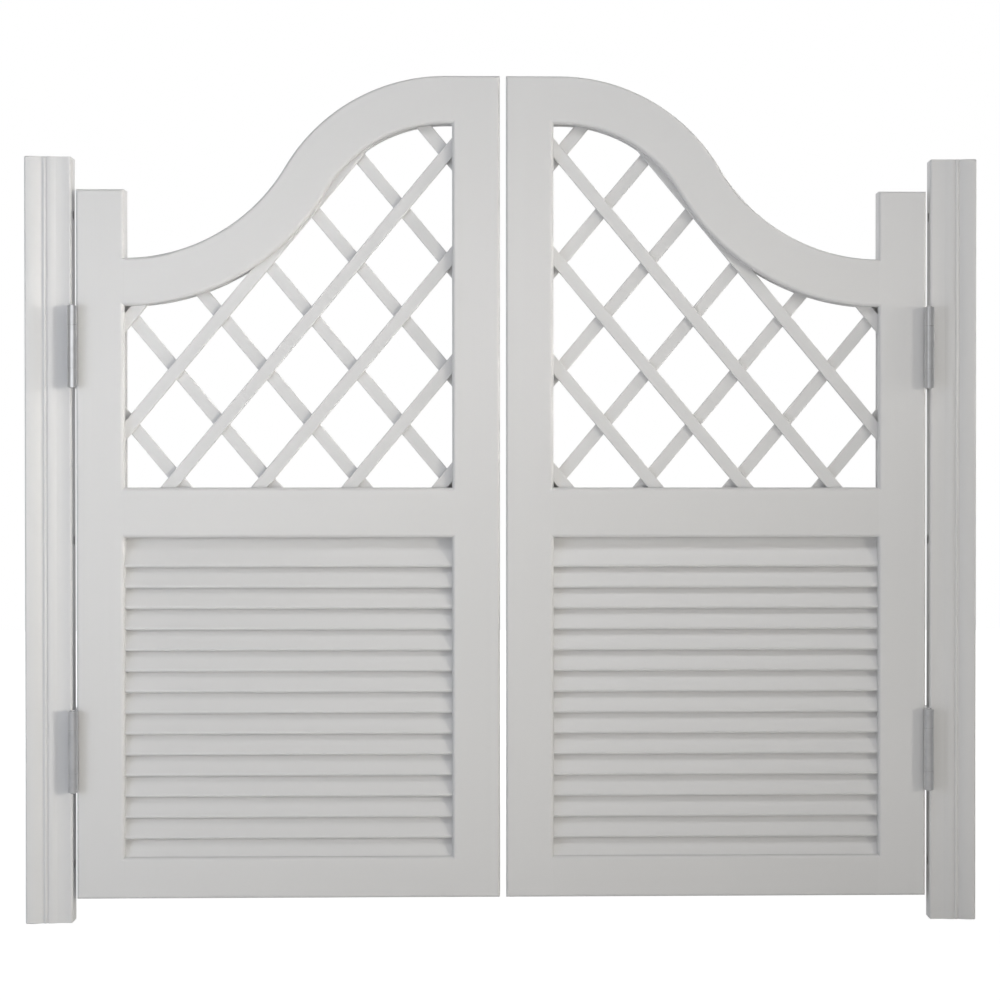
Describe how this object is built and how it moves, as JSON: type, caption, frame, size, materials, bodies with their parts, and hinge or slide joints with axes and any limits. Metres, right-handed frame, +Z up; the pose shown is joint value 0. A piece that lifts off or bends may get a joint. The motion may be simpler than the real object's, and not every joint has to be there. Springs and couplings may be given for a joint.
{
  "type": "cafe swinging doors",
  "caption": "Pair of white painted swinging doors with an arched top rail, a diamond lattice and fixed louvres, hung on double-action spring hinges between moulded posts.",
  "frame": {"origin": "middle of the doorway, in the mid-plane of the leaves, level with the feet of the posts", "axes": "+X along the doorway from the left post to the right one as seen from the front, +Y from the front to the back, +Z up"},
  "size_m": [1.2, 0.0674, 1.068],
  "materials": {
    "painted_post": "semi-gloss white paint on moulded softwood",
    "painted_frame": "semi-gloss white paint, brushed, on planed softwood",
    "painted_lattice": "semi-gloss white paint on sawn strips",
    "painted_slats": "semi-gloss white paint on rounded slats",
    "dowel_wood": "bare beech, fluted and glued",
    "hinge_steel": "satin nickel plate on rolled steel",
    "pin_steel": "turned steel, lightly oiled",
    "spring_steel": "drawn spring wire, oiled",
    "screw_steel": "zinc plated steel"
  },
  "bodies": {
    "root": {"left_jamb_collars": "pin_steel", "left_jamb_pins": "pin_steel", "left_jamb_screws": "screw_steel", "left_jamb_springs": "spring_steel", "left_jamb_tension_pins": "pin_steel", "left_lower_jamb_flange": "hinge_steel", "left_post": "painted_post", "left_upper_jamb_flange": "hinge_steel", "right_jamb_collars": "pin_steel", "right_jamb_pins": "pin_steel", "right_jamb_screws": "screw_steel", "right_jamb_springs": "spring_steel", "right_jamb_tension_pins": "pin_steel", "right_lower_jamb_flange": "hinge_steel", "right_post": "painted_post", "right_upper_jamb_flange": "hinge_steel"},
    "left_link": {"left_knuckle_washers": "pin_steel", "left_lower_centre_plate": "hinge_steel", "left_upper_centre_plate": "hinge_steel"},
    "left_leaf": {"left_bottom_rail": "painted_frame", "left_door_collars": "pin_steel", "left_door_pins": "pin_steel", "left_door_screws": "screw_steel", "left_door_springs": "spring_steel", "left_door_tension_pins": "pin_steel", "left_frame_dowels": "dowel_wood", "left_hinge_stile": "painted_frame", "left_lattice_back": "painted_lattice", "left_lattice_front": "painted_lattice", "left_louvre_slats": "painted_slats", "left_lower_door_flange": "hinge_steel", "left_meeting_stile": "painted_frame", "left_mid_rail": "painted_frame", "left_top_rail": "painted_frame", "left_upper_door_flange": "hinge_steel"},
    "right_link": {"right_knuckle_washers": "pin_steel", "right_lower_centre_plate": "hinge_steel", "right_upper_centre_plate": "hinge_steel"},
    "right_leaf": {"right_bottom_rail": "painted_frame", "right_door_collars": "pin_steel", "right_door_pins": "pin_steel", "right_door_screws": "screw_steel", "right_door_springs": "spring_steel", "right_door_tension_pins": "pin_steel", "right_frame_dowels": "dowel_wood", "right_hinge_stile": "painted_frame", "right_lattice_back": "painted_lattice", "right_lattice_front": "painted_lattice", "right_louvre_slats": "painted_slats", "right_lower_door_flange": "hinge_steel", "right_meeting_stile": "painted_frame", "right_mid_rail": "painted_frame", "right_top_rail": "painted_frame", "right_upper_door_flange": "hinge_steel"}
  },
  "joints": [
    {"name": "left_front_swing", "type": "hinge", "parent": "root", "child": "left_link", "pos_m": [-0.53875, -0.0275, 0.47175], "axis": [0, 0, -1], "range_deg": [0, 90], "stiffness_Nm_per_rad": 2.5, "springref_deg": -28.65},
    {"name": "left_rear_swing", "type": "hinge", "parent": "left_link", "child": "left_leaf", "pos_m": [-0.53875, 0.0275, 0.47175], "axis": [0, 0, 1], "range_deg": [0, 90], "stiffness_Nm_per_rad": 2.5, "springref_deg": -28.65},
    {"name": "right_rear_swing", "type": "hinge", "parent": "root", "child": "right_link", "pos_m": [0.53875, 0.0275, 0.47175], "axis": [0, 0, -1], "range_deg": [0, 90], "stiffness_Nm_per_rad": 2.5, "springref_deg": -28.65},
    {"name": "right_front_swing", "type": "hinge", "parent": "right_link", "child": "right_leaf", "pos_m": [0.53875, -0.0275, 0.47175], "axis": [0, 0, 1], "range_deg": [0, 90], "stiffness_Nm_per_rad": 2.5, "springref_deg": -28.65}
  ]
}
